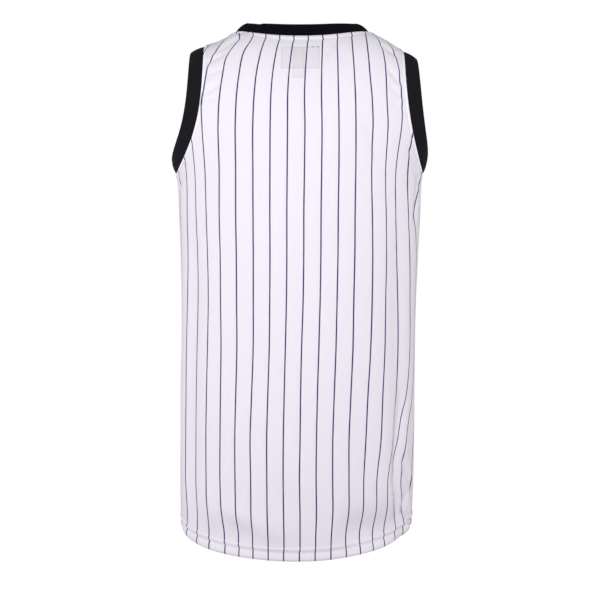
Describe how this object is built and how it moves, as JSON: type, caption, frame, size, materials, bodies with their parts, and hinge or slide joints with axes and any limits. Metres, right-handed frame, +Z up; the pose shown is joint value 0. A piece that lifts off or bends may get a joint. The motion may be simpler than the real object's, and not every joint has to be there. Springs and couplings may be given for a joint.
{
  "type": "tank top",
  "caption": "Sleeveless pinstriped knit sports top with black neck and armhole bands, filled out to its worn hollow form with a scooped hem.",
  "frame": {"origin": "on the shoulder line, midway between the points where the neck seam crosses it, in the open neck", "axes": "+Z up, +Y out of the garment's front, -Y out of its back, +X towards the wearer's right"},
  "size_m": [0.3904, 0.2164, 0.8134],
  "materials": {
    "pinstripe_knit": "white polyester knit with thin navy pinstripes 25 mm apart, faint upright ribs and a soft sheen",
    "black_rib": "folded black rib knit, matt with a slight sheen",
    "label_satin": "blank pale grey woven satin"
  },
  "bodies": {
    "root": {"back_panel": "pinstripe_knit", "front_panel": "pinstripe_knit", "neck_band": "black_rib", "armhole_band_left": "black_rib", "armhole_band_right": "black_rib", "neck_label": "label_satin", "care_tab": "label_satin"}
  },
  "joints": []
}
